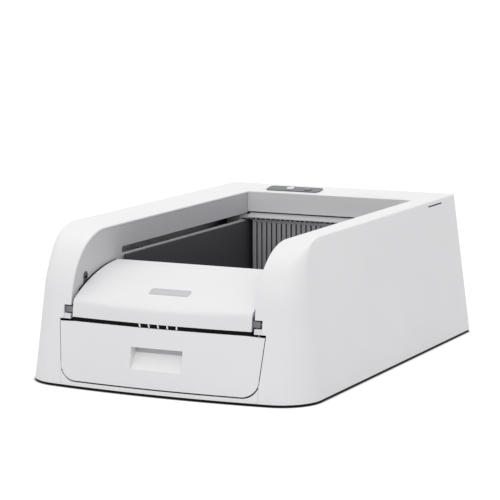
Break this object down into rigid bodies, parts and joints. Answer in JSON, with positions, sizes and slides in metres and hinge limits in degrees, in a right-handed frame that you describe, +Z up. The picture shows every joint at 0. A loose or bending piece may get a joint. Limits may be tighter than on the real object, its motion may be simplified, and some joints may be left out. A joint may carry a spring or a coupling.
{
  "type": "self-cleaning litter box",
  "caption": "Low open litter box with rounded side walls, a hinged step over a pull-out waste drawer, and a belt-driven rake parked at the rear.",
  "frame": {"origin": "on the floor under the middle of the housing, at the bottom face of the feet", "axes": "+Z up, +Y from the drawer at the front to the rear wall, +X to the right for someone who faces the drawer"},
  "size_m": [0.49, 0.725, 0.244],
  "materials": {
    "white_shell": "satin moulded, fine grain",
    "wall_grey": "matt moulded",
    "drawer_white": "satin moulded",
    "bin_charcoal": "matt moulded",
    "step_white": "satin moulded, finely textured top",
    "badge_grey": "blank plate, satin",
    "strip_black": "polished",
    "light_white": "translucent light pipes",
    "lug_grey": "matt moulded",
    "hinge_white": "satin moulded",
    "tray_charcoal": "matt, easy to wipe",
    "base_dark": "matt moulded",
    "foot_rubber": "matt rubber",
    "lens_black": "infrared-clear, polished",
    "seat_grey": "matt moulded",
    "beam_white": "satin moulded",
    "rake_grey": "matt moulded",
    "scoop_grey": "matt moulded",
    "nylon_grey": "machined nylon",
    "bracket_grey": "glass-filled plastic",
    "rod_steel": "ground steel",
    "screw_steel": "zinc plated",
    "pinion_brass": "turned brass",
    "belt_black": "ribbed rubber",
    "motor_steel": "zinc plated can",
    "board_green": "solder mask",
    "panel_grey": "satin film",
    "button_white": "satin moulded",
    "button_grey": "satin moulded",
    "led_green": "clear lens",
    "inlet_black": "matt moulded"
  },
  "bodies": {
    "housing": {"base_pan": "base_dark", "rubber_feet": "foot_rubber", "base_screws": "screw_steel", "outer_shell": "white_shell", "inner_wall_left": "wall_grey", "inner_wall_right": "wall_grey", "rear_inner_cover": "wall_grey", "front_rail": "white_shell", "hinge_block_left": "hinge_white", "hinge_block_right": "hinge_white", "litter_tray": "tray_charcoal", "sensor_lenses": "lens_black", "sensor_seats": "seat_grey", "guide_rod_left": "rod_steel", "guide_rod_right": "rod_steel", "drive_belt_left": "belt_black", "drive_belt_right": "belt_black", "rake_motor": "motor_steel", "motor_bracket": "motor_steel", "shaft_bearings": "nylon_grey", "idler_brackets": "bracket_grey", "rod_brackets": "bracket_grey", "scoop_motor": "motor_steel", "scoop_bushes": "nylon_grey", "control_panel": "panel_grey", "panel_lights": "led_green", "control_board": "board_green", "main_board": "board_green", "power_inlet": "inlet_black", "drawer_runners": "bracket_grey"},
    "drawer": {"drawer_front": "drawer_white", "waste_bin": "bin_charcoal", "drawer_screws": "screw_steel"},
    "ramp": {"step_ramp": "step_white", "badge_plate": "badge_grey", "ramp_hinge_lug_left": "lug_grey", "ramp_hinge_lug_right": "lug_grey", "light_strip": "strip_black", "status_light_bars": "light_white", "light_board": "board_green"},
    "rake": {"rake_beam": "beam_white", "rake_comb": "rake_grey", "rake_carriage_left": "nylon_grey", "rake_carriage_right": "nylon_grey", "belt_clamps": "nylon_grey"},
    "drive": {"drive_shaft": "rod_steel", "drive_pulley_left": "nylon_grey", "drive_pulley_right": "nylon_grey", "shaft_gear": "nylon_grey"},
    "pinion": {"motor_pinion": "pinion_brass", "motor_shaft": "rod_steel"},
    "idler_left": {"idler_pulley_left": "nylon_grey"},
    "idler_right": {"idler_pulley_right": "nylon_grey"},
    "scoop": {"waste_scoop": "scoop_grey", "scoop_shaft": "rod_steel"},
    "clean_key": {"clean_button": "button_white"},
    "power_key": {"power_button": "button_grey"}
  },
  "joints": [
    {"name": "drawer_slide", "type": "slide", "parent": "housing", "child": "drawer", "axis": [0, -1, 0], "range_m": [0, 0.13]},
    {"name": "ramp_hinge", "type": "hinge", "parent": "housing", "child": "ramp", "pos_m": [0, -0.3315, 0.121], "axis": [1, 0, 0], "range_deg": [0, 75]},
    {"name": "rake_slide", "type": "slide", "parent": "housing", "child": "rake", "axis": [0, -1, 0], "range_m": [0, 0.39]},
    {"name": "drive_spin", "type": "hinge", "parent": "housing", "child": "drive", "pos_m": [0, 0.3335, 0.212], "axis": [1, 0, 0], "range_deg": [-1752, 10]},
    {"name": "pinion_spin", "type": "hinge", "parent": "housing", "child": "pinion", "pos_m": [0.045, 0.3335, 0.188], "axis": [1, 0, 0], "range_deg": [-20, 2927]},
    {"name": "idler_left_spin", "type": "hinge", "parent": "housing", "child": "idler_left", "pos_m": [-0.176, -0.1665, 0.212], "axis": [1, 0, 0], "range_deg": [-1752, 10]},
    {"name": "idler_right_spin", "type": "hinge", "parent": "housing", "child": "idler_right", "pos_m": [0.176, -0.1665, 0.212], "axis": [1, 0, 0], "range_deg": [-1752, 10]},
    {"name": "scoop_hinge", "type": "hinge", "parent": "housing", "child": "scoop", "pos_m": [0, -0.1855, 0.08], "axis": [1, 0, 0], "range_deg": [0, 160]},
    {"name": "clean_button_press", "type": "slide", "parent": "housing", "child": "clean_key", "axis": [0, 0.1344, -0.9909], "range_m": [0, 0.0012], "stiffness_N_per_m": 800, "springref_m": -0.0005},
    {"name": "power_button_press", "type": "slide", "parent": "housing", "child": "power_key", "axis": [0, 0.1344, -0.9909], "range_m": [0, 0.0012], "stiffness_N_per_m": 800, "springref_m": -0.0005}
  ],
  "couplings": [
    {"joint": "drive_spin", "follows": "rake_slide", "rad_per_m": -77.519},
    {"joint": "pinion_spin", "follows": "rake_slide", "rad_per_m": 129.2},
    {"joint": "idler_left_spin", "follows": "rake_slide", "rad_per_m": -77.519},
    {"joint": "idler_right_spin", "follows": "rake_slide", "rad_per_m": -77.519}
  ]
}
